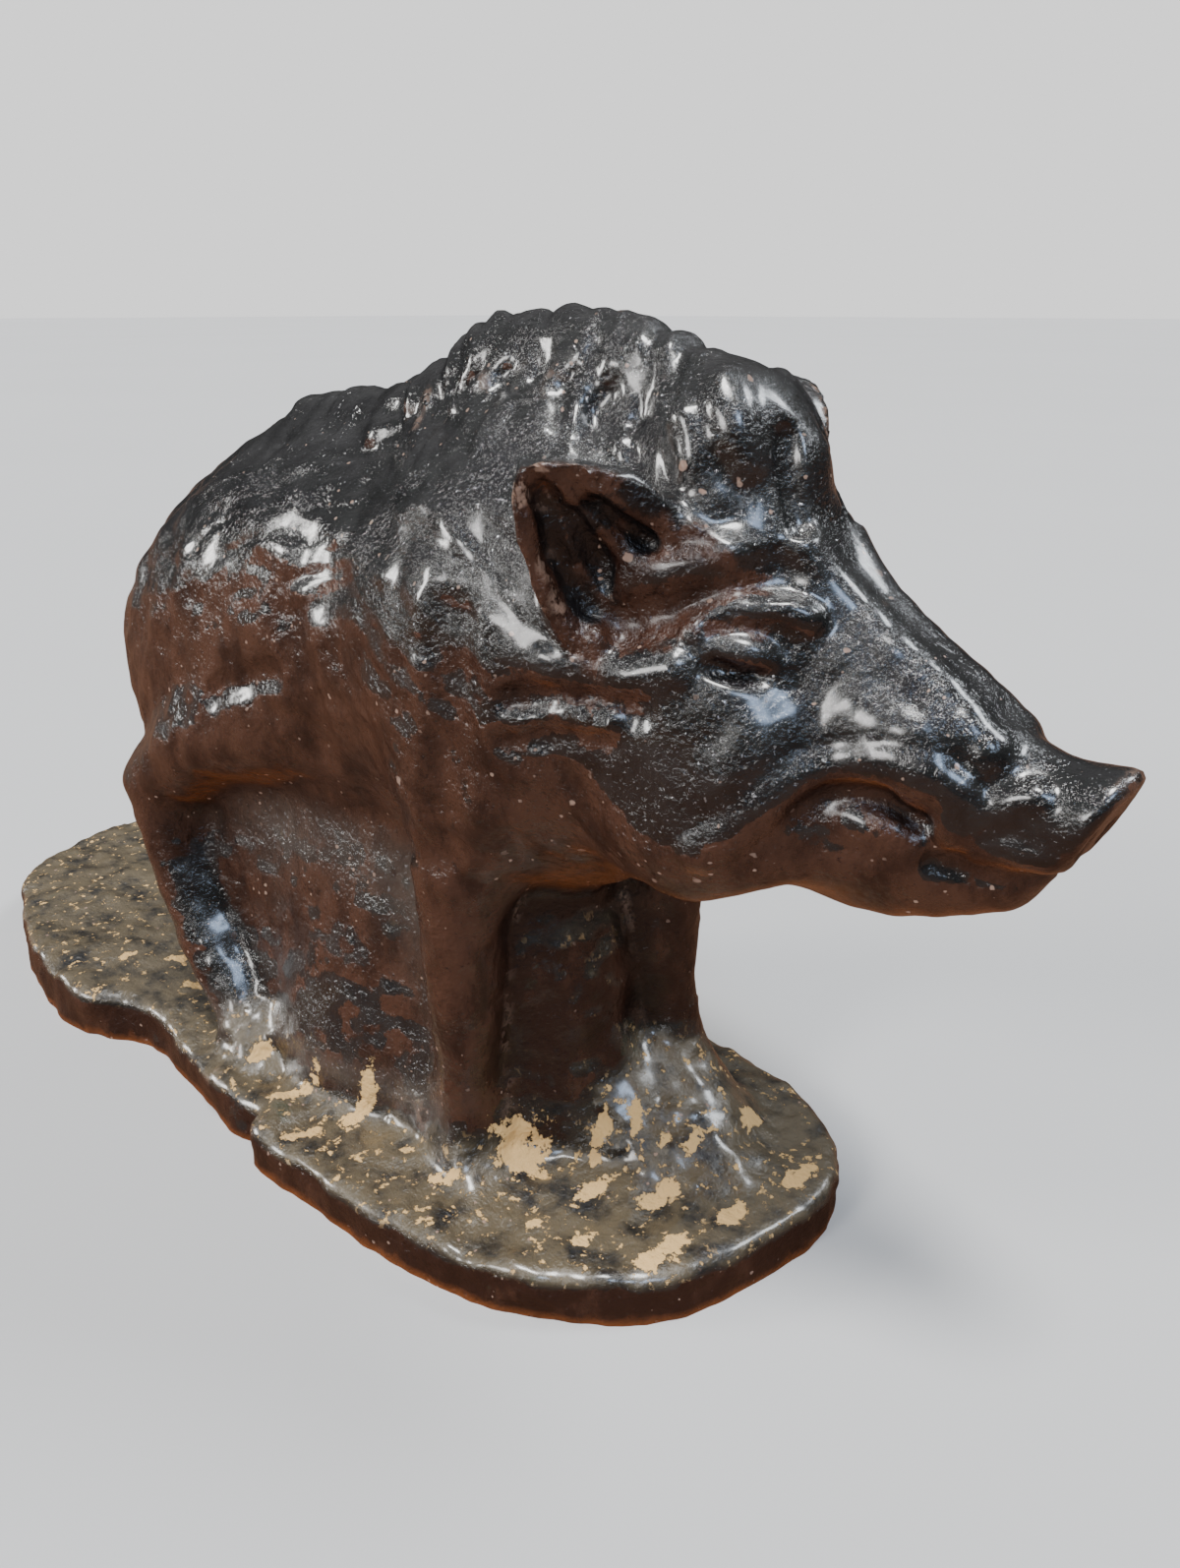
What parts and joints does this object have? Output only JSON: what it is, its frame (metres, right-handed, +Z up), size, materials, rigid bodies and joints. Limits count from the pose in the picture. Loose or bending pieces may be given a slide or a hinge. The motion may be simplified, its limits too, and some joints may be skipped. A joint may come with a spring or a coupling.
{
  "type": "boar figurine",
  "caption": "Cast wild boar standing on an oval earthen plinth, with a crested mane, long snout and cupped ears, in a dark glaze worn at the edges.",
  "frame": {"origin": "centre of the bounding box, on the flat underside of the plinth", "axes": "+X towards the snout, +Y towards the boar's left side, +Z up"},
  "size_m": [0.182, 0.0548, 0.1001],
  "materials": {
    "dark_glaze": "glossy black-brown glaze over a pale cast body, chipped to cream on the plinth and worn on raised edges"
  },
  "bodies": {
    "root": {"boar_figurine": "dark_glaze"}
  },
  "joints": []
}
